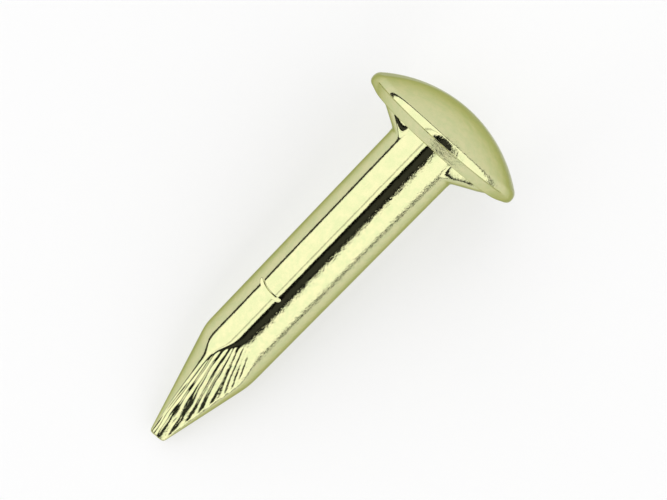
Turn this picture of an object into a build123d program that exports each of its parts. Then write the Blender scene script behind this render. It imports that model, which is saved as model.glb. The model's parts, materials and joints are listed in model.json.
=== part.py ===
from build123d import *

import math
import os

# A plated escutcheon pin: a wire nail cold-headed from one length of wire.
# Millimetres. It is modelled along its own axis, with the blunt end of the
# point at x = 0 and the head towards +X, and is then laid down as it comes to
# rest on a flat surface: on the edge of its head and on the shoulder where
# the point begins, with the flat under the point facing straight down. An
# azimuth is measured round the axis in degrees, from straight up (0) towards
# -Y (90).

# Whole pin
length_under_head = 9.525     # from the blunt end of the point to the head's underside
shank_dia = 1.715             # drawn wire

# Head, measured from its widest ring
head_dia = 3.94
head_height = 0.795           # from the widest ring up to the crown
shoulder_radius = 0.22        # rounds the widest ring into the dome
lip_depth = 0.135             # from the widest ring down to the underside
lip_edge_radius = 0.11
underside_width = 0.245       # from the lip's rounded edge in to the neck
underside_rise = 0.033        # the underside is coned a little towards the neck
neck_depth = 0.33             # the neck's cone, from the underside down to the shank
head_offset = 0.053           # the heading blow fell this far off the wire's axis
head_offset_azimuth = 90.0    # and on this side
head_lean = 2.3               # degrees that the head leans, away from that side

# Point: a cone set off to one side at its blunt end, with two flats pressed
# by the pointing dies. Each flat stands this far from the axis at the blunt
# end, and moves away by its slope times the distance along the axis.
blunt_end_dia = 0.413
blunt_end_offset = 0.134
blunt_end_azimuth = 90.0
cone_slope = 0.237            # growth of the cone's radius for each millimetre
cone_centred_from = 4.02      # distance from the blunt end at which the cone is centred
upper_flat_start = 0.126
upper_flat_slope = 0.211
upper_flat_azimuth = 21.0
lower_flat_start = 0.11
lower_flat_slope = 0.215
lower_flat_azimuth = 180.0

# Mark left by the end of the gripping die: a shallow curved nick
die_mark_from_point = 4.735
die_mark_width = 0.05
die_mark_depth = 0.02
die_mark_span = 45.0          # degrees round the shank
die_mark_azimuth = -24.5

steps_to_rest = 6             # each brings the two touching points level more closely

shank_r = shank_dia / 2
head_r = head_dia / 2
flare_r = head_r - lip_edge_radius - underside_width    # where the neck meets the underside
flare_x = length_under_head - underside_rise
ring_x = length_under_head + lip_depth


def towards(azimuth):
    """Unit vector square to the pin's axis, at an azimuth round it."""
    turn = math.radians(azimuth)
    return Vector(0, -math.sin(turn), math.cos(turn))


def on_arc(centre_x, centre_r, radius, turn):
    """Point (x, radius from the axis) of an arc, at a turn from the pin's axis."""
    return (centre_x + radius * math.cos(turn), centre_r + radius * math.sin(turn))


def shank():
    """The wire from the blunt end up into the head, before it is pointed."""
    return extrude(Plane.YZ * Circle(shank_r), ring_x)


def head():
    """Dome, rounded shoulder, lip, coned underside and the flare of the neck."""
    # The shoulder's arc has its centre level with the ring. The dome's centre
    # is on the axis, where its arc touches the shoulder's and the crown.
    crown_x = ring_x + head_height
    shoulder_centre_r = head_r - shoulder_radius
    dome_radius = (head_height**2 + shoulder_centre_r**2 - shoulder_radius**2) / (
        2 * (head_height - shoulder_radius)
    )
    dome_x = crown_x - dome_radius
    dome_ends = math.atan2(shoulder_centre_r, ring_x - dome_x)
    shoulder_top = on_arc(dome_x, 0, dome_radius, dome_ends)
    lip_x = ring_x - lip_depth
    lip_centre = (lip_x + lip_edge_radius, head_r - lip_edge_radius)
    lip_side = on_arc(*lip_centre, lip_edge_radius, math.pi / 2)
    lip_under = on_arc(*lip_centre, lip_edge_radius, math.pi)
    # The neck's cone runs on inside the shank, past the head's offset from
    # the axis, so that it comes out of the shank all round.
    root_r = shank_r - 2 * head_offset
    root_x = flare_x - neck_depth * (flare_r - root_r) / (flare_r - shank_r)
    outline = [
        ThreePointArc(
            (crown_x, 0), on_arc(dome_x, 0, dome_radius, dome_ends / 2), shoulder_top
        ),
        ThreePointArc(
            shoulder_top,
            on_arc(ring_x, shoulder_centre_r, shoulder_radius, (dome_ends + math.pi / 2) / 2),
            (ring_x, head_r),
        ),
        Line((ring_x, head_r), lip_side),
        ThreePointArc(
            lip_side, on_arc(*lip_centre, lip_edge_radius, 3 * math.pi / 4), lip_under
        ),
        Line(lip_under, (flare_x, flare_r)),
        Line((flare_x, flare_r), (root_x, root_r)),
        Line((root_x, root_r), (root_x, 0)),
        Line((root_x, 0), (crown_x, 0)),
    ]
    return revolve(make_face(outline), axis=Axis.X)


def cone_waste():
    """What the dies pinch off round the point: a block with the off-centre cone left out."""
    end_r = blunt_end_dia / 2 + cone_slope * cone_centred_from
    offset = towards(blunt_end_azimuth) * blunt_end_offset
    blunt_end = Plane(origin=offset, z_dir=(1, 0, 0)) * Circle(blunt_end_dia / 2)
    centred_end = Plane(origin=(cone_centred_from, 0, 0), z_dir=(1, 0, 0)) * Circle(end_r)
    cone = loft([blunt_end, centred_end], ruled=True)
    block = Pos(cone_centred_from / 2, 0, 0) * Box(cone_centred_from, 2 * head_dia, 2 * head_dia)
    return block - cone


def flat_waste(start, slope, azimuth):
    """The metal that one die moves aside to press a flat: a slab standing on the flat."""
    outwards = towards(azimuth) - Vector(slope, 0, 0)
    slab = Box(2 * length_under_head, 2 * head_dia, head_dia)
    return Plane(origin=towards(azimuth) * start, z_dir=outwards) * Pos(0, 0, head_dia / 2) * slab


def die_mark():
    """A thin ring set off the axis, so that it bites the shank along a short arc."""
    off_axis = die_mark_depth / (1 - math.cos(math.radians(die_mark_span / 2)))
    inner_r = shank_r - die_mark_depth + off_axis
    centre = Vector(die_mark_from_point, 0, 0) - towards(die_mark_azimuth) * off_axis
    plane = Plane(origin=centre, z_dir=(1, 0, 0))
    ring = plane * (Circle(inner_r + shank_r) - Circle(inner_r))
    return extrude(ring, die_mark_width / 2, both=True)


def lowest(solid, slope):
    """Height of a solid's lowest point once the pin's axis climbs by so many degrees."""
    return (Rot(0, -slope, 0) * solid).bounding_box().min.Z


def rest_slope(headed, pointed):
    """Slope at which the head's edge and the shank's shoulder stand on one level."""
    shoulder_x = (shank_r - lower_flat_start) / lower_flat_slope
    slope = 0.0
    for _ in range(steps_to_rest):
        shank_is_higher_by = lowest(pointed, slope) - lowest(headed, slope)
        slope += math.degrees(math.atan2(shank_is_higher_by, ring_x - shoulder_x))
    return slope


def pin():
    """The whole pin, laid down with its lowest points on z = 0."""
    # The head is set off and leant in a frame whose -Y is the offset's side.
    leaning_head = (
        Rot(head_offset_azimuth - 90, 0, 0)
        * Pos(ring_x, -head_offset, 0) * Rot(0, 0, head_lean) * Pos(-ring_x, 0, 0)
        * head()
    )
    upper_waste = flat_waste(upper_flat_start, upper_flat_slope, upper_flat_azimuth)
    lower_waste = flat_waste(lower_flat_start, lower_flat_slope, lower_flat_azimuth)
    pointed_shank = shank() - cone_waste() - upper_waste - lower_waste - die_mark()
    slope = rest_slope(leaning_head, pointed_shank)
    laid = Rot(0, -slope, 0) * (pointed_shank + leaning_head)
    box = laid.bounding_box()
    middle = box.center()
    print("slope of the shank at rest, degrees:", round(slope, 3))
    return Pos(-middle.X, -middle.Y, -box.min.Z) * laid


os.makedirs("parts", exist_ok=True)
export_step(pin(), "parts/pin.step")
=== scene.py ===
import json
import math

import bpy
from mathutils import Matrix, Vector


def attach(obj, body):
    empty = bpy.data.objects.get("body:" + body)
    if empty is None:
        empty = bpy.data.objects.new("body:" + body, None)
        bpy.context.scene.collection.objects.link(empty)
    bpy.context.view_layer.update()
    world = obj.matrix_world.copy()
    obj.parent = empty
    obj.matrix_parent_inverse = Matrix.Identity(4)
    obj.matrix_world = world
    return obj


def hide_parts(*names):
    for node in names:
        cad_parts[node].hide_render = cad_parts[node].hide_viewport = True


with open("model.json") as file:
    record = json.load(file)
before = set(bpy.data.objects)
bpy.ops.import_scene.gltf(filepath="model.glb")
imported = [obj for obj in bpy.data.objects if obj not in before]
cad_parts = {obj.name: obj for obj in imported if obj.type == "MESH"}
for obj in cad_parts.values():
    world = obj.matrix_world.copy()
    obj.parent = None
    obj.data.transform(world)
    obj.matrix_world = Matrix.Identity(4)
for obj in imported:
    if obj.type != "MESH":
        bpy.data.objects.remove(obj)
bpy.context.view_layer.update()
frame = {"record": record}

# ---------------------------------------------------------------------------
# The pin's own measures, in millimetres, along its axis from the blunt end of
# the point (x = 0) to the head (+X). An azimuth goes round the axis from
# straight up (0) towards -Y (90).

MM = 0.001
SHANK_RADIUS = 0.8575
MIDDLE_OF_SHANK = 5.870       # from the blunt end to the place the record gives for the shank
LENGTH_UNDER_HEAD = 9.525

HEAD_RADIUS = 1.97
HEAD_HEIGHT = 0.795
SHOULDER_RADIUS = 0.20
LIP_DEPTH = 0.135
LIP_EDGE_RADIUS = 0.11
UNDERSIDE_WIDTH = 0.245
UNDERSIDE_RISE = 0.033
NECK_DEPTH = 0.42
HEAD_OFFSET = 0.053
HEAD_LEAN = math.radians(2.3)
RING_X = LENGTH_UNDER_HEAD + LIP_DEPTH
FLARE_X = LENGTH_UNDER_HEAD - UNDERSIDE_RISE
FLARE_RADIUS = HEAD_RADIUS - LIP_EDGE_RADIUS - UNDERSIDE_WIDTH
NECK_X = FLARE_X - NECK_DEPTH

NECK_STARTS = -0.24           # where its rings start, as a share of its depth
NECK_ROOT_SOFTNESS = 0.004    # how gently the cone leaves the shank
FILLET_STARTS = 0.8           # between the wings, as a share of the neck's depth
FILLET_SHARE = 0.25           # and how far out of the flare it reaches
SLANT_X = 9.49                # where the chamfer of the lip starts
SLANT_RADIUS = 1.80
SLANT_LIFT = 0.05             # how far the chamfer pushes the widest ring towards the crown
SHOULDER_TURN = math.radians(55)
CHAMFER_RISES = (-78, -60)    # azimuths between which the chamfer comes in
CHAMFER_FALLS = (55, 85)      # and goes out
WINGS_RISE = (0.66, 0.9)      # sines of azimuth between which the neck's wings come in
HEAD_BLEND = 0.12             # stretch of the shank that takes up the head's offset and lean

# Rings in each part of the head
NECK_RINGS = 22
UNDERSIDE_RINGS = 10
LIP_RINGS = 14
SHOULDER_RINGS = 26
DOME_RINGS = 44

SEGMENTS = 256                # round the pin

# The rounding of the blunt end: places along the axis and shares of the radius
BLUNT_END = (
    (0.0, 0.0), (0.0, 0.3), (0.002, 0.5), (0.008, 0.7), (0.02, 0.85), (0.038, 0.94), (0.06, 0.98),
)
# Stretches of the shank: start, end and rings, close together at the point and the die mark
SHANK_STRETCHES = (
    (0.085, 3.6, 120), (3.6, 4.64, 15), (4.64, 4.83, 24), (4.83, NECK_X - 0.08, 54),
)

# The camera looks almost straight down on the pin, a little from the head's side.
SENSOR = 36.0
FOCAL_LENGTH = 53.97
CAMERA_DISTANCE = 22.06       # from the pin's axis
AIM_X = 6.220                 # the place on the axis that it is square in front of
AIM_SIDE = 0.060              # and this far to the side
HEAD_TOWARDS_CAMERA = math.radians(14.04)
ROLL = math.radians(45.7135)  # the pin climbs to the right in the view

# The soft tent round the pin
TENT_LEVEL = 1.48             # brightness of its walls, which keeps a white floor just white
# Its slot and seam, in degrees round the pin's axis as azimuths are
SLOT_TURN = 7.5
SLOT_EDGE = (17.8, 16.8)      # from the middle of the slot: wall outside, slot inside
SLOT_GLOW = (10.5, 7.0)       # the slot is a little lighter in its middle
SEAM_TURN = -21.0
SEAM_EDGE = (2.4, 1.2)
HEM_HEIGHTS = (0.115, 0.14)   # sines of elevation: dark below, wall above
CARD_OWN_WHITE = 0.55         # share of the floor that shows as plain white


def srgb(code):
    """Linear colour of an sRGB hex code."""
    values = [int(code[i:i + 2], 16) / 255 for i in (1, 3, 5)]
    return [v / 12.92 if v <= 0.04045 else ((v + 0.055) / 1.055) ** 2.4 for v in values] + [1.0]


def add(tree, kind, joins=None, **settings):
    """Adds a node with its settings; joins gives each input a socket to read or a value."""
    node = tree.nodes.new(kind)
    for name, value in settings.items():
        setattr(node, name, value)
    for key, value in (joins or {}).items():
        if isinstance(value, bpy.types.NodeSocket):
            tree.links.new(value, node.inputs[key])
        else:
            node.inputs[key].default_value = value
    return node


def towards(azimuth):
    """Unit vector square to the pin's axis, at an azimuth in degrees."""
    turn = math.radians(azimuth)
    return Vector((0, -math.sin(turn), math.cos(turn)))


# ---------------------------------------------------------------------------
# Where the pin lies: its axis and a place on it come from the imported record.

shank_mount = frame["record"]["mounts"][0]
to_head = -Vector(shank_mount["axis"]).normalized()
across = Vector((0, 1, 0))
away_from_floor = to_head.cross(across)
blunt_end = Vector(shank_mount["pos_m"]) - to_head * MIDDLE_OF_SHANK * MM
pin_to_row = Matrix.Translation(blunt_end) @ Matrix(
    [[to_head[i] * MM, across[i] * MM, away_from_floor[i] * MM, 0] for i in range(3)]
    + [[0, 0, 0, 1]]
)


# ---------------------------------------------------------------------------
# The turned blank: rings along the axis, from the blunt end to the crown.

def spread(start, end, count):
    """count values from start up to but not including end."""
    return [start + (end - start) * i / count for i in range(count)]


def shank_profile():
    """(x, radius) of each ring of the shank, from the pole at the blunt end to the neck."""
    rings = [(x, SHANK_RADIUS * part) for x, part in BLUNT_END]
    for start, end, count in SHANK_STRETCHES:
        rings += [(x, SHANK_RADIUS) for x in spread(start, end, count)]
    return rings


def flank_profile(chamfered, winged):
    """(x, radius) from the neck to the crown, for one side of the head.

    Where the head is chamfered its lip slants out from the underside to the
    widest ring; elsewhere the lip is a rounded edge. Where the neck is winged
    it flares out to the underside; elsewhere the shank runs straight up to it.
    """
    rings = []
    flare = FLARE_RADIUS - SHANK_RADIUS
    for part in spread(NECK_STARTS, 1.0, NECK_RINGS):
        cone = 0.5 * (part + math.sqrt(part * part + NECK_ROOT_SOFTNESS))
        fillet = FILLET_SHARE * max(0.0, (part - FILLET_STARTS) / (1 - FILLET_STARTS)) ** 2
        grown = flare * (winged * cone + (1 - winged) * fillet)
        rings.append((NECK_X + part * NECK_DEPTH, SHANK_RADIUS + grown))
    under_radius = SHANK_RADIUS + flare * (winged + (1 - winged) * FILLET_SHARE)
    round_x = LENGTH_UNDER_HEAD + LIP_EDGE_RADIUS
    round_radius = HEAD_RADIUS - LIP_EDGE_RADIUS
    edge_radius = round_radius + (SLANT_RADIUS - round_radius) * chamfered
    for part in spread(0.0, 1.0, UNDERSIDE_RINGS):
        rise = (LENGTH_UNDER_HEAD - FLARE_X) * (1 - chamfered) * part
        rings.append((FLARE_X + rise, under_radius + (edge_radius - under_radius) * part))
    ring_x = RING_X + SLANT_LIFT * chamfered
    for step in range(LIP_RINGS):
        part = step / (LIP_RINGS - 1)
        turn = math.pi * (1 - 0.5 * part)
        rounded = (
            round_x + LIP_EDGE_RADIUS * math.cos(turn),
            round_radius + LIP_EDGE_RADIUS * math.sin(turn),
        )
        slanted = (
            SLANT_X + (ring_x - SLANT_X) * part,
            SLANT_RADIUS + (HEAD_RADIUS - SLANT_RADIUS) * part,
        )
        rings.append(tuple(r + (s - r) * chamfered for r, s in zip(rounded, slanted)))
    # The shoulder is an arc; the dome goes on from it at the same tilt and
    # closes on the axis.
    for turn in spread(0.0, SHOULDER_TURN, SHOULDER_RINGS):
        rings.append((
            ring_x + SHOULDER_RADIUS * math.sin(turn),
            HEAD_RADIUS - SHOULDER_RADIUS * (1 - math.cos(turn)),
        ))
    x = ring_x + SHOULDER_RADIUS * math.sin(SHOULDER_TURN)
    radius = HEAD_RADIUS - SHOULDER_RADIUS * (1 - math.cos(SHOULDER_TURN))
    dome = radius / math.cos(SHOULDER_TURN)
    crown = RING_X + HEAD_HEIGHT
    stretch = (crown - x) / (dome * (1 - math.sin(SHOULDER_TURN)))
    for turn in spread(SHOULDER_TURN, math.pi / 2, DOME_RINGS):
        climb = stretch * dome * (math.sin(turn) - math.sin(SHOULDER_TURN))
        rings.append((x + climb, dome * math.cos(turn)))
    rings.append((crown, 0.0))
    return rings


def smooth_step(low, high, value):
    """0 below low, 1 above high, with a smooth climb between them."""
    part = min(1.0, max(0.0, (value - low) / (high - low)))
    return part * part * (3 - 2 * part)


def head_sections():
    """The flank of the head at each of the blank's segments round the axis."""
    sections = []
    for step in range(SEGMENTS):
        azimuth = 360 * step / SEGMENTS
        azimuth = azimuth - 360 if azimuth > 180 else azimuth
        aside = abs(math.sin(math.radians(azimuth)))
        winged = smooth_step(*WINGS_RISE, aside)
        chamfered = smooth_step(*CHAMFER_RISES, azimuth)
        chamfered *= 1 - smooth_step(*CHAMFER_FALLS, azimuth)
        sections.append(flank_profile(chamfered, winged))
    return sections


def set_on_shank(x, y, z):
    """Moves a point of the head as the heading blow left it: off the axis and leaning."""
    part = smooth_step(FLARE_X - HEAD_BLEND, FLARE_X, x)
    along = x - RING_X
    leant = Vector((
        RING_X + along * math.cos(HEAD_LEAN) - y * math.sin(HEAD_LEAN),
        along * math.sin(HEAD_LEAN) + y * math.cos(HEAD_LEAN) - HEAD_OFFSET,
        z,
    ))
    return Vector((x, y, z)).lerp(leant, part)


def blank_mesh():
    """Closed mesh of the blank, with a single point at each pole."""
    rings = shank_profile()
    points = [set_on_shank(rings[0][0], 0, 0)]
    sections = head_sections()
    for x, radius in rings[1:]:
        for step in range(SEGMENTS):
            side = towards(360 * step / SEGMENTS) * radius
            points.append(set_on_shank(x, side.y, side.z))
    for ring in range(len(sections[0]) - 1):
        for step in range(SEGMENTS):
            x, radius = sections[step][ring]
            side = towards(360 * step / SEGMENTS) * radius
            points.append(set_on_shank(x, side.y, side.z))
    rings += sections[0]
    points.append(set_on_shank(rings[-1][0], 0, 0))
    last = len(points) - 1
    faces = []
    for step in range(SEGMENTS):
        after = (step + 1) % SEGMENTS
        faces.append((0, 1 + step, 1 + after))
        faces.append((last, last - SEGMENTS + after, last - SEGMENTS + step))
    for ring in range(len(rings) - 3):
        here = 1 + ring * SEGMENTS
        for step in range(SEGMENTS):
            after = (step + 1) % SEGMENTS
            above = here + SEGMENTS
            faces.append((here + step, above + step, above + after, here + after))
    mesh = bpy.data.meshes.new("pin_blank")
    mesh.from_pydata(points, [], faces)
    mesh.polygons.foreach_set("use_smooth", [True] * len(mesh.polygons))
    mesh.update()
    return mesh


# ---------------------------------------------------------------------------
# Pointing and marking the blank, as a Geometry Nodes rule. Each section of the
# point is the smallest of the wire's circle, an off-centre cone and two flats.

POINTING_SIZES = {
    "Shank Radius": SHANK_RADIUS,
    "Blunt End Radius": 0.2065,
    "Cone Slope": 0.237,
    "Cone Offset": 0.134,
    "Cone Centred From": 4.02,
    "Edge Rounding": 0.07,
    "Upper Flat Start": 0.126,
    "Upper Flat Slope": 0.211,
    "Lower Flat Start": 0.11,
    "Lower Flat Slope": 0.215,
    "Groove Depth": 0.0075,
    "Groove Spacing": 0.036,      # as the tangent of the angle between grooves, which fan out
    "Groove Pole X": 6.08,
    "Groove Pole Side": -1.32,
    "Die Mark X": 4.735,
    "Die Mark Depth": 0.032,
    "Die Mark Steep Side": 0.059,
    "Die Mark Gentle Side": 0.06,
    "Upper Flat Twist": math.radians(13),
    "Die Mark Bow": 0.05,
    "Unevenness": 0.0015,
    "Unevenness Size": 0.9,
}
SEED = 3.0
FLATS = {"Lower Flat": 180.0, "Upper Flat": 21.0}    # azimuths; the upper one is pressed last
CONE_OFFSET_AZIMUTH = 90.0
DIE_MARK_AZIMUTH = -24.5
DIE_MARK_HALF_SPAN = 24.0
TWIST_BETWEEN = (1.0, 4.4)    # mm from the blunt end: the upper flat untwists over this stretch
POINT_ENDS = (4.4, 4.2)       # mm from the blunt end: grooves fade out over this stretch
FLAT_FACING_LEAST = 0.08      # cosine that stands in where a direction runs along a flat
GROOVE_STRAY = 14.0           # how far noise shifts the grooves, in radians


def pointing_tree(finish):
    """The rule that points and marks the blank, with its sizes as named inputs."""
    tree = bpy.data.node_groups.new("pointing_and_marks", "GeometryNodeTree")
    tree.interface.new_socket("Geometry", in_out="INPUT", socket_type="NodeSocketGeometry")
    for name in POINTING_SIZES:
        tree.interface.new_socket(name, in_out="INPUT", socket_type="NodeSocketFloat")
    tree.interface.new_socket("Seed", in_out="INPUT", socket_type="NodeSocketFloat")
    tree.interface.new_socket("Geometry", in_out="OUTPUT", socket_type="NodeSocketGeometry")
    size = add(tree, "NodeGroupInput").outputs
    math_node, vector_node = "ShaderNodeMath", "ShaderNodeVectorMath"

    place = add(tree, "GeometryNodeInputPosition").outputs[0]
    parts = add(tree, "ShaderNodeSeparateXYZ", {0: place}).outputs
    x = parts["X"]
    off_axis = add(tree, "ShaderNodeCombineXYZ", {"Y": parts["Y"], "Z": parts["Z"]}).outputs[0]
    outwards = add(tree, vector_node, {0: off_axis}, operation="NORMALIZE").outputs[0]

    # The cone: a circle whose centre comes back to the axis away from the point.
    cone_radius = add(
        tree, math_node,
        {0: x, 1: size["Cone Slope"], 2: size["Blunt End Radius"]},
        operation="MULTIPLY_ADD",
    ).outputs[0]
    offset = add(
        tree, "ShaderNodeMapRange",
        {0: x, 1: 0.0, 2: size["Cone Centred From"], 3: size["Cone Offset"], 4: 0.0},
    ).outputs[0]
    facing = add(
        tree, vector_node, {0: outwards, 1: towards(CONE_OFFSET_AZIMUTH)}, operation="DOT_PRODUCT"
    ).outputs["Value"]
    near = add(tree, math_node, {0: facing, 1: offset}, operation="MULTIPLY").outputs[0]
    near_squared = add(tree, math_node, {0: near, 1: near}, operation="MULTIPLY").outputs[0]
    offset_squared = add(tree, math_node, {0: offset, 1: offset}, operation="MULTIPLY").outputs[0]
    sideways = add(
        tree, math_node, {0: offset_squared, 1: near_squared}, operation="SUBTRACT"
    ).outputs[0]
    radius_squared = add(
        tree, math_node, {0: cone_radius, 1: cone_radius}, operation="MULTIPLY"
    ).outputs[0]
    under_root = add(
        tree, math_node, {0: radius_squared, 1: sideways}, operation="SUBTRACT"
    ).outputs[0]
    root = add(tree, math_node, {0: under_root}, operation="SQRT").outputs[0]
    cone = add(tree, math_node, {0: root, 1: near}, operation="ADD").outputs[0]
    reach = add(
        tree, math_node,
        {0: cone, 1: size["Shank Radius"], 2: size["Edge Rounding"]},
        operation="SMOOTH_MIN",
    ).outputs[0]

    # The flats
    flat_reach = {}
    for name, azimuth in FLATS.items():
        stands_off = add(
            tree, math_node,
            {0: x, 1: size[name + " Slope"], 2: size[name + " Start"]},
            operation="MULTIPLY_ADD",
        ).outputs[0]
        facing = add(
            tree, vector_node, {0: outwards, 1: towards(azimuth)}, operation="DOT_PRODUCT"
        ).outputs["Value"]
        if name == "Upper Flat":
            # It turns a little towards straight up as it nears the blunt end.
            aside = add(
                tree, vector_node, {0: outwards, 1: towards(azimuth + 90)}, operation="DOT_PRODUCT"
            ).outputs["Value"]
            twist = add(
                tree, "ShaderNodeMapRange",
                {
                    0: x, 1: TWIST_BETWEEN[0], 2: TWIST_BETWEEN[1],
                    3: size["Upper Flat Twist"], 4: 0.0,
                },
            ).outputs[0]
            twist_cos = add(tree, math_node, {0: twist}, operation="COSINE").outputs[0]
            twist_sin = add(tree, math_node, {0: twist}, operation="SINE").outputs[0]
            facing = add(
                tree, math_node, {0: facing, 1: twist_cos}, operation="MULTIPLY"
            ).outputs[0]
            turned = add(
                tree, math_node, {0: aside, 1: twist_sin}, operation="MULTIPLY"
            ).outputs[0]
            facing = add(tree, math_node, {0: facing, 1: turned}, operation="SUBTRACT").outputs[0]
        facing = add(
            tree, math_node, {0: facing, 1: FLAT_FACING_LEAST}, operation="MAXIMUM"
        ).outputs[0]
        flat_reach[name] = add(
            tree, math_node, {0: stands_off, 1: facing}, operation="DIVIDE"
        ).outputs[0]
        before_upper = reach
        reach = add(
            tree, math_node,
            {0: reach, 1: flat_reach[name], 2: size["Edge Rounding"]},
            operation="SMOOTH_MIN",
        ).outputs[0]
    shrink = add(
        tree, math_node, {0: reach, 1: size["Shank Radius"]}, operation="DIVIDE"
    ).outputs[0]

    # Grooves drawn across the upper flat by the die: they fan out from a pole.
    flat_side = towards(FLATS["Upper Flat"] + 90)
    aside = add(
        tree, vector_node, {0: outwards, 1: flat_side}, operation="DOT_PRODUCT"
    ).outputs["Value"]
    aside = add(tree, math_node, {0: aside, 1: reach}, operation="MULTIPLY").outputs[0]
    from_pole_side = add(
        tree, math_node, {0: aside, 1: size["Groove Pole Side"]}, operation="SUBTRACT"
    ).outputs[0]
    from_pole_x = add(
        tree, math_node, {0: size["Groove Pole X"], 1: x}, operation="SUBTRACT"
    ).outputs[0]
    from_pole_x = add(tree, math_node, {0: from_pole_x, 1: 1.0}, operation="MAXIMUM").outputs[0]
    fan = add(tree, math_node, {0: from_pole_side, 1: from_pole_x}, operation="DIVIDE").outputs[0]
    fan = add(tree, math_node, {0: fan, 1: size["Groove Spacing"]}, operation="DIVIDE").outputs[0]
    groove_place = add(
        tree, "ShaderNodeCombineXYZ", {"X": fan, "Y": x, "Z": size["Seed"]}
    ).outputs[0]
    stray = add(
        tree, "ShaderNodeTexNoise",
        {"Vector": groove_place, "Scale": 0.5, "Detail": 2.0, "Roughness": 0.6},
    ).outputs[0]
    stray = add(tree, math_node, {0: stray, 1: GROOVE_STRAY}, operation="MULTIPLY").outputs[0]
    phase = add(
        tree, math_node, {0: fan, 1: 2 * math.pi, 2: stray}, operation="MULTIPLY_ADD"
    ).outputs[0]
    groove = add(tree, math_node, {0: phase}, operation="SINE").outputs[0]
    groove = add(
        tree, math_node, {0: groove, 1: size["Groove Depth"]}, operation="MULTIPLY"
    ).outputs[0]
    shorter = add(
        tree, "ShaderNodeTexNoise", {"Vector": groove_place, "Scale": 1.1, "Detail": 1.0}
    ).outputs[0]
    shorter = add(
        tree, "ShaderNodeMapRange", {0: shorter, 1: 0.35, 2: 0.6, 3: 0.45, 4: 1.2}
    ).outputs[0]
    groove = add(tree, math_node, {0: groove, 1: shorter}, operation="MULTIPLY").outputs[0]
    inside = add(
        tree, math_node, {0: before_upper, 1: flat_reach["Upper Flat"]}, operation="SUBTRACT"
    ).outputs[0]
    on_flat = add(
        tree, "ShaderNodeMapRange",
        {0: inside, 1: -0.005, 2: 0.03},
        interpolation_type="SMOOTHSTEP",
    ).outputs[0]
    at_point = add(
        tree, "ShaderNodeMapRange", {0: x, 1: POINT_ENDS[0], 2: POINT_ENDS[1]}
    ).outputs[0]
    on_flat = add(tree, math_node, {0: on_flat, 1: at_point}, operation="MULTIPLY").outputs[0]
    groove = add(tree, math_node, {0: groove, 1: on_flat}, operation="MULTIPLY").outputs[0]

    # The gripping die's end: a bowed nick across the shank.
    mark_side = towards(DIE_MARK_AZIMUTH + 90)
    mark_turn = add(
        tree, vector_node, {0: outwards, 1: mark_side}, operation="DOT_PRODUCT"
    ).outputs["Value"]
    mark_face = add(
        tree, vector_node, {0: outwards, 1: towards(DIE_MARK_AZIMUTH)}, operation="DOT_PRODUCT"
    ).outputs["Value"]
    turn = add(tree, math_node, {0: mark_turn, 1: mark_face}, operation="ARCTAN2").outputs[0]
    turn = add(
        tree, math_node, {0: turn, 1: math.radians(DIE_MARK_HALF_SPAN)}, operation="DIVIDE"
    ).outputs[0]
    turn_squared = add(tree, math_node, {0: turn, 1: turn}, operation="MULTIPLY").outputs[0]
    bowed = add(
        tree, math_node,
        {0: turn_squared, 1: size["Die Mark Bow"], 2: size["Die Mark X"]},
        operation="MULTIPLY_ADD",
    ).outputs[0]
    beside = add(tree, math_node, {0: x, 1: bowed}, operation="SUBTRACT").outputs[0]
    gentle_width = add(
        tree, math_node, {0: size["Die Mark Gentle Side"], 1: -1.0}, operation="MULTIPLY"
    ).outputs[0]
    steep_wall = add(
        tree, "ShaderNodeMapRange", {0: beside, 1: size["Die Mark Steep Side"], 2: 0.0}
    ).outputs[0]
    gentle_wall = add(tree, "ShaderNodeMapRange", {0: beside, 1: gentle_width, 2: 0.0}).outputs[0]
    mark = add(tree, math_node, {0: steep_wall, 1: gentle_wall}, operation="MINIMUM").outputs[0]
    mark_fade = add(tree, "ShaderNodeMapRange", {0: turn_squared, 1: 1.1, 2: 0.5}).outputs[0]
    mark = add(tree, math_node, {0: mark, 1: mark_fade}, operation="MULTIPLY").outputs[0]
    mark = add(
        tree, math_node, {0: mark, 1: size["Die Mark Depth"]}, operation="MULTIPLY"
    ).outputs[0]

    # Faint unevenness of drawn and tumbled wire
    uneven_place = add(
        tree, vector_node, {0: place, 1: size["Unevenness Size"]}, operation="DIVIDE"
    ).outputs[0]
    uneven = add(
        tree, "ShaderNodeTexNoise",
        {"Vector": uneven_place, "Scale": 1.0, "Detail": 2.0, "Roughness": 0.45},
    ).outputs[0]
    uneven = add(tree, math_node, {0: uneven, 1: 0.5}, operation="SUBTRACT").outputs[0]
    uneven = add(
        tree, math_node, {0: uneven, 1: size["Unevenness"]}, operation="MULTIPLY"
    ).outputs[0]

    swell = add(tree, math_node, {0: groove, 1: uneven}, operation="ADD").outputs[0]
    swell = add(tree, math_node, {0: swell, 1: mark}, operation="SUBTRACT").outputs[0]
    shrunk = add(tree, vector_node, {0: off_axis, "Scale": shrink}, operation="SCALE").outputs[0]
    swollen = add(tree, vector_node, {0: outwards, "Scale": swell}, operation="SCALE").outputs[0]
    along = add(tree, "ShaderNodeCombineXYZ", {"X": x}).outputs[0]
    moved = add(tree, vector_node, {0: shrunk, 1: swollen}, operation="ADD").outputs[0]
    moved = add(tree, vector_node, {0: moved, 1: along}, operation="ADD").outputs[0]
    shaped = add(
        tree, "GeometryNodeSetPosition", {"Geometry": size["Geometry"], "Position": moved}
    ).outputs[0]
    real = add(tree, "GeometryNodeRealizeInstances", {"Geometry": shaped}).outputs[0]
    finished = add(
        tree, "GeometryNodeSetMaterial", {"Geometry": real, "Material": finish}
    ).outputs[0]
    add(tree, "NodeGroupOutput", {0: finished})
    return tree


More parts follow.
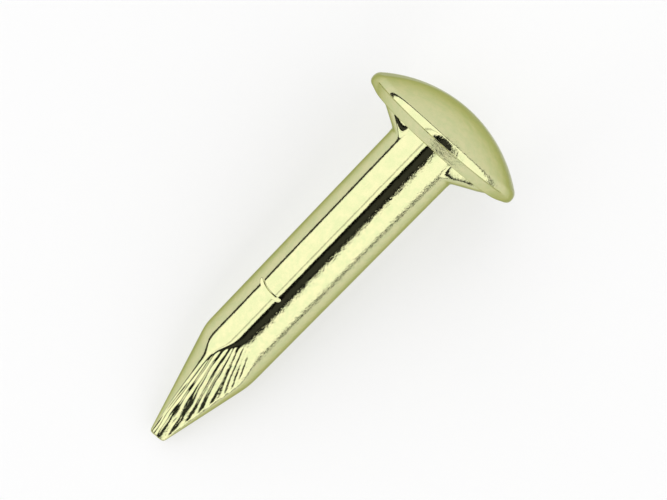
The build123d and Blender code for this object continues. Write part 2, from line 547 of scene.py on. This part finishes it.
def pin_object(finish):
    """The blank run through the pointing rule, as one plain mesh in the row frame."""
    blank = bpy.data.objects.new("pin_blank", blank_mesh())
    bpy.context.scene.collection.objects.link(blank)
    tree = pointing_tree(finish)
    rule = blank.modifiers.new("pointing", "NODES")
    rule.node_group = tree
    sizes = dict(POINTING_SIZES, Seed=SEED)
    for item in tree.interface.items_tree:
        if item.in_out == "INPUT" and item.name in sizes:
            rule[item.identifier] = sizes[item.name]
    evaluated = blank.evaluated_get(bpy.context.evaluated_depsgraph_get())
    mesh = bpy.data.meshes.new_from_object(evaluated)
    mesh.name = "plated_pin"
    mesh.transform(pin_to_row)
    mesh.update()
    blank.modifiers.remove(rule)
    bpy.data.objects.remove(blank)
    pin = bpy.data.objects.new("plated_pin", mesh)
    bpy.context.scene.collection.objects.link(pin)
    return pin


# ---------------------------------------------------------------------------
# Materials

def bright_brass_plate():
    """Bright acid brass electroplated over a drawn and tumbled steel wire.

    A pale greenish yellow mirror. The tumbling leaves a fine orange peel that
    frays the edges of what the plate mirrors.
    """
    material = bpy.data.materials.new("bright_brass_electroplate_on_steel")
    material.use_nodes = True
    tree = material.node_tree
    shader = tree.nodes["Principled BSDF"]
    shader.inputs["Specular Tint"].default_value = srgb("#B9BD8E")
    shader.inputs["Metallic"].default_value = 1.0
    shader.inputs["Roughness"].default_value = 0.07
    place = add(tree, "ShaderNodeTexCoord").outputs["Object"]
    in_mm = add(
        tree, "ShaderNodeVectorMath", {0: place, "Scale": 1 / MM}, operation="SCALE"
    ).outputs[0]
    # Bumps of about a tenth of a millimetre, stronger where the pin was rubbed on one side
    peel = add(
        tree, "ShaderNodeTexNoise",
        {"Vector": in_mm, "Scale": 9.0, "Detail": 4.0, "Roughness": 0.6},
    ).outputs[0]
    side = add(tree, "ShaderNodeSeparateXYZ", {0: in_mm}).outputs["Y"]
    rubbed = add(
        tree, "ShaderNodeMapRange", {0: side, 1: 0.10, 2: -0.12, 3: 0.0012 * MM, 4: 0.0090 * MM}
    ).outputs[0]
    bump = add(
        tree, "ShaderNodeBump", {"Height": peel, "Strength": 1.0, "Distance": rubbed}
    ).outputs[0]
    tree.links.new(bump, shader.inputs["Normal"])
    # The plate is a shade warmer and cooler in patches of a fifth of a millimetre
    patches = add(
        tree, "ShaderNodeTexNoise",
        {"Vector": in_mm, "Scale": 5.0, "Detail": 4.0, "Roughness": 0.65},
    ).outputs[0]
    tone = add(tree, "ShaderNodeValToRGB", {0: patches})
    tones = ((0.36, "#CBD09E"), (0.64, "#D6D4A4"))
    for stop, (position, code) in zip(tone.color_ramp.elements, tones):
        stop.position = position
        stop.color = srgb(code)
    tree.links.new(tone.outputs["Color"], shader.inputs["Base Color"])
    return material


def matt_white_card():
    """Uncoated white card: a soft pale floor with no gloss."""
    material = bpy.data.materials.new("matt_white_card")
    material.use_nodes = True
    shader = material.node_tree.nodes["Principled BSDF"]
    shader.inputs["Base Color"].default_value = srgb("#FAFAFA")
    shader.inputs["Roughness"].default_value = 1.0
    shader.inputs["Specular IOR Level"].default_value = 0.0
    # Seen directly, mirrored or through glass, the card is partly its own plain white,
    # which leaves the shadow on it fainter.
    tree = material.node_tree
    path = add(tree, "ShaderNodeLightPath").outputs
    seen = add(
        tree, "ShaderNodeMath",
        {0: path["Is Camera Ray"], 1: path["Is Glossy Ray"]},
        operation="MAXIMUM",
    ).outputs[0]
    seen = add(
        tree, "ShaderNodeMath", {0: seen, 1: path["Is Transmission Ray"]}, operation="MAXIMUM"
    ).outputs[0]
    share = add(
        tree, "ShaderNodeMath", {0: seen, 1: CARD_OWN_WHITE}, operation="MULTIPLY"
    ).outputs[0]
    white = add(tree, "ShaderNodeEmission", {"Color": (1, 1, 1, 1), "Strength": 1.0}).outputs[0]
    blend = add(tree, "ShaderNodeMixShader", {0: share, 1: shader.outputs[0], 2: white}).outputs[0]
    tree.links.new(blend, tree.nodes["Material Output"].inputs["Surface"])
    return material


# ---------------------------------------------------------------------------
# The soft tent: even white walls, a long dark slot overhead that the lens
# looks through, and a stitched seam beside it.

def tent():
    """World light: white walls with the slot, the seam and the hem in them."""
    world = bpy.data.worlds.new("soft_tent")
    bpy.context.scene.world = world
    world.use_nodes = True
    tree = world.node_tree
    back = tree.nodes["Background"]
    math_node, vector_node = "ShaderNodeMath", "ShaderNodeVectorMath"
    way = add(tree, "ShaderNodeTexCoord").outputs["Generated"]
    up = add(
        tree, vector_node, {0: way, 1: away_from_floor}, operation="DOT_PRODUCT"
    ).outputs["Value"]
    side = add(tree, vector_node, {0: way, 1: -across}, operation="DOT_PRODUCT").outputs["Value"]
    ahead = add(tree, vector_node, {0: way, 1: to_head}, operation="DOT_PRODUCT").outputs["Value"]
    turn = add(tree, math_node, {0: side, 1: up}, operation="ARCTAN2").outputs[0]
    turn = add(tree, math_node, {0: turn}, operation="DEGREES").outputs[0]
    # The slot runs overhead along the pin and ends short of straight ahead of the head.
    from_slot = add(tree, math_node, {0: turn, 1: SLOT_TURN}, operation="SUBTRACT").outputs[0]
    from_slot = add(tree, math_node, {0: from_slot}, operation="ABSOLUTE").outputs[0]
    in_slot = add(
        tree, "ShaderNodeMapRange", {0: from_slot, 1: SLOT_EDGE[0], 2: SLOT_EDGE[1]}
    ).outputs[0]
    slot_ends = add(tree, "ShaderNodeMapRange", {0: ahead, 1: 0.985, 2: 0.975}).outputs[0]
    in_slot = add(tree, math_node, {0: in_slot, 1: slot_ends}, operation="MULTIPLY").outputs[0]
    in_slot_glow = add(
        tree, "ShaderNodeMapRange",
        {0: from_slot, 1: SLOT_GLOW[0], 2: SLOT_GLOW[1], 3: 0.002, 4: 0.05},
    ).outputs[0]
    from_seam = add(tree, math_node, {0: turn, 1: SEAM_TURN}, operation="SUBTRACT").outputs[0]
    from_seam = add(tree, math_node, {0: from_seam}, operation="ABSOLUTE").outputs[0]
    seam = add(
        tree, "ShaderNodeMapRange",
        {0: from_seam, 1: SEAM_EDGE[0], 2: SEAM_EDGE[1], 3: 1.0, 4: 0.5},
    ).outputs[0]
    walls = add(tree, math_node, {0: seam, 1: TENT_LEVEL}, operation="MULTIPLY").outputs[0]
    # A dark hem where the walls meet the floor
    height = add(tree, "ShaderNodeSeparateXYZ", {0: way}).outputs["Z"]
    hem = add(
        tree, "ShaderNodeMapRange",
        {0: height, 1: HEM_HEIGHTS[0], 2: HEM_HEIGHTS[1], 3: 0.03, 4: 1.0},
    ).outputs[0]
    walls = add(tree, math_node, {0: walls, 1: hem}, operation="MULTIPLY").outputs[0]
    level = add(
        tree, "ShaderNodeMix",
        {"Factor": in_slot, "A": walls, "B": in_slot_glow},
        data_type="FLOAT",
    ).outputs[0]
    tree.links.new(level, back.inputs["Strength"])
    back.inputs["Color"].default_value = (1, 1, 1, 1)


def floor():
    """The pale card that the pin lies on."""
    half = 0.6    # metres
    mesh = bpy.data.meshes.new("floor")
    corners = [(-half, -half, 0), (half, -half, 0), (half, half, 0), (-half, half, 0)]
    mesh.from_pydata(corners, [], [(0, 1, 2, 3)])
    card = bpy.data.objects.new("floor", mesh)
    bpy.context.scene.collection.objects.link(card)
    mesh.materials.append(matt_white_card())


def camera():
    """Looks almost straight down, with the head raised a little towards the lens."""
    lean = HEAD_TOWARDS_CAMERA
    to_camera = away_from_floor * math.cos(lean) + to_head * math.sin(lean)
    headwards = to_head * math.cos(lean) - away_from_floor * math.sin(lean)
    right = headwards * math.cos(ROLL) - across * math.sin(ROLL)
    up = headwards * math.sin(ROLL) + across * math.cos(ROLL)
    aim = blunt_end + to_head * AIM_X * MM - across * AIM_SIDE * MM
    data = bpy.data.cameras.new("camera")
    data.sensor_width = SENSOR
    data.lens = FOCAL_LENGTH
    data.clip_start = 0.001
    data.clip_end = 10.0
    eye = bpy.data.objects.new("camera", data)
    bpy.context.scene.collection.objects.link(eye)
    spot = aim + to_camera * CAMERA_DISTANCE * MM
    eye.matrix_world = Matrix(
        [[right[i], up[i], to_camera[i], spot[i]] for i in range(3)] + [[0, 0, 0, 1]]
    )
    bpy.context.scene.camera = eye


bpy.context.scene.view_settings.view_transform = "Standard"
tent()
floor()
camera()
plated_pin = pin_object(bright_brass_plate())
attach(plated_pin, "root")
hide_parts("pin")
